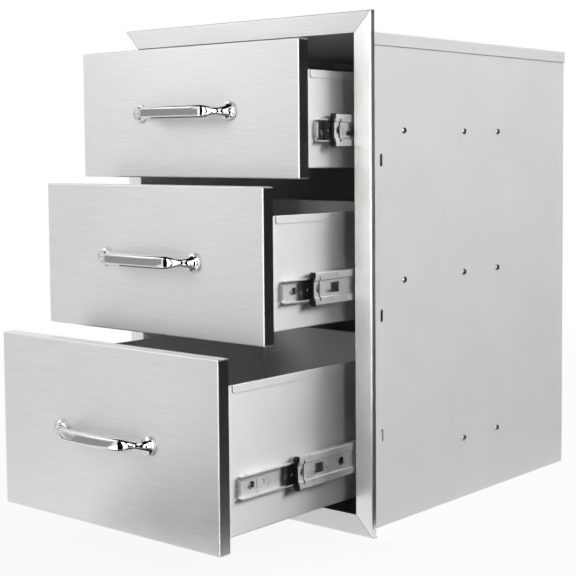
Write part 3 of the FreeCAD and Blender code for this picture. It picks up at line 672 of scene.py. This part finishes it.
def makeFloor(settings):
    material, tree = newMaterial("paleFloor")
    matt = addNode(tree, "ShaderNodeBsdfDiffuse", {"Color": linear(settings["floorColour"])})
    backdrop = addNode(tree, "ShaderNodeEmission", {"Color": white, "Strength": 1.0})
    lift = addNode(tree, "ShaderNodeEmission", {"Color": white},
                   {"Strength": lightPath(tree, settings["floorGlow"], settings["floorShine"])})
    lit = addNode(tree, "ShaderNodeAddShader", {}, {0: matt.outputs[0], 1: lift.outputs[0]})
    place = addNode(tree, "ShaderNodeTexCoord", {})
    away = addNode(tree, "ShaderNodeVectorMath", {"operation": "LENGTH"},
                   {0: place.outputs["Object"]})
    fade = addNode(tree, "ShaderNodeMapRange",
                   {"interpolation_type": "SMOOTHSTEP", "From Min": settings["fadeStart"],
                    "From Max": settings["fadeEnd"]}, {"Value": away.outputs["Value"]})
    rays = addNode(tree, "ShaderNodeLightPath", {})
    share = addNode(tree, "ShaderNodeMath", {"operation": "MULTIPLY"},
                    {0: rays.outputs["Is Camera Ray"], 1: fade.outputs["Result"]})
    both = addNode(tree, "ShaderNodeMixShader", {},
                   {0: share.outputs[0], 1: lit.outputs[0], 2: backdrop.outputs[0]})
    addNode(tree, "ShaderNodeOutputMaterial", {}, {"Surface": both.outputs[0]})
    stagePlane("floor", Matrix.Scale(settings["floorSize"], 4), material)


def makeWorld(settings):
    world = bpy.data.worlds.new("studio")
    world.use_nodes = True
    scene.world = world
    tree = world.node_tree
    tree.nodes.clear()
    strength = addNode(tree, "ShaderNodeMath",
                       {"operation": "MAXIMUM", 1: settings["worldStrength"]},
                       {0: lightPath(tree, 1.0, 1.0)})
    light = addNode(tree, "ShaderNodeBackground", {"Color": white},
                    {"Strength": strength.outputs[0]})
    addNode(tree, "ShaderNodeOutputWorld", {}, {"Surface": light.outputs[0]})


def aimed(place, target, toward):
    turn = (Vector(target) - Vector(place)).to_track_quat(toward, "Y")
    return Matrix.Translation(place) @ turn.to_matrix().to_4x4()


def hangLamp(data, azimuth, elevation, distance, target):
    turn = math.radians(azimuth)
    rise = math.radians(elevation)
    place = Vector(target) + distance * Vector((math.cos(rise) * math.cos(turn),
                                                math.cos(rise) * math.sin(turn), math.sin(rise)))
    lamp = bpy.data.objects.new(data.name, data)
    scene.collection.objects.link(lamp)
    lamp.matrix_world = aimed(place, target, "-Z")
    lamp.visible_camera = False
    lamp.visible_glossy = False


def makeLamp(name, azimuth, elevation, distance, size, strength):
    data = bpy.data.lights.new(name, "AREA")
    data.shape = "RECTANGLE"
    data.size, data.size_y = size
    data.energy = strength * (math.pi * distance) ** 2
    hangLamp(data, azimuth, elevation, distance, lampTarget)


def makePool(settings):
    far = settings["distance"]
    data = bpy.data.lights.new("poolLamp", "SPOT")
    data.spot_size = math.radians(settings["coneDegrees"])
    data.spot_blend = 1.0
    data.shadow_soft_size = settings["softRadius"]
    data.energy = settings["strength"] * (2 * math.pi * far) ** 2
    hangLamp(data, settings["azimuth"], settings["elevation"], far, settings["target"])


def makeGlow(name, matrix, colour, strength):
    # a glowing plane that neither the camera nor a matt surface sees
    material, tree = newMaterial(name)
    glow = addNode(tree, "ShaderNodeEmission", {"Color": linear(colour), "Strength": strength})
    addNode(tree, "ShaderNodeOutputMaterial", {}, {"Surface": glow.outputs[0]})
    card = stagePlane(name, matrix, material)
    card.visible_camera = False
    card.visible_diffuse = False
    card.visible_shadow = False


def makeCard(name, azimuth, elevation, distance, size, colour, strength):
    turn = math.radians(azimuth)
    rise = math.radians(elevation)
    place = Vector(cardCentre) + distance * Vector((-math.sin(turn) * math.cos(rise),
                                                    -math.cos(turn) * math.cos(rise),
                                                    math.sin(rise)))
    makeGlow(name, aimed(place, cardCentre, "Z") @ Matrix.Diagonal((*size, 1.0, 1.0)),
             colour, strength)


def makeFlag(name, left, right):
    middle = Matrix.Translation(((left + right) / 2, flagPlane, flagTop / 2))
    upright = Matrix.Rotation(math.radians(90), 4, "X")
    makeGlow(name, middle @ upright @ Matrix.Diagonal((right - left, flagTop, 1.0, 1.0)),
             flagBlack, 1.0)


def makeShadeFlag(settings):
    material, tree = newMaterial("shadeFlag")
    matt = addNode(tree, "ShaderNodeBsdfDiffuse", {"Color": linear(flagBlack)})
    addNode(tree, "ShaderNodeOutputMaterial", {}, {"Surface": matt.outputs[0]})
    lean = Matrix.Rotation(math.radians(settings["leanDegrees"]), 4, "Y")
    upright = Matrix.Rotation(math.radians(90), 4, "X")
    place = Matrix.Translation(settings["middle"]) @ lean @ upright
    flag = stagePlane("shadeFlag", place @ Matrix.Diagonal((*settings["size"], 1.0, 1.0)), material)
    flag.visible_camera = False
    flag.visible_diffuse = False
    flag.visible_glossy = False
    flag.visible_transmission = False


def makeMat(name, middle, size, turn, colour, strength):
    place = Matrix.Translation((*middle, matHeight))
    turned = place @ Matrix.Rotation(math.radians(turn), 4, "Z")
    makeGlow(name, turned @ Matrix.Diagonal((*size, 1.0, 1.0)), colour, strength)


makeFloor(studio)
makeWorld(studio)
for name, settings in lamps.items():
    makeLamp(name, *settings)
makePool(pool)
for name, settings in cards.items():
    makeCard(name, *settings)
for name, (left, right) in flags.items():
    makeFlag(name, left, right)
makeShadeFlag(shadeFlag)
for name, settings in mats.items():
    makeMat(name, *settings)
print("studio made")
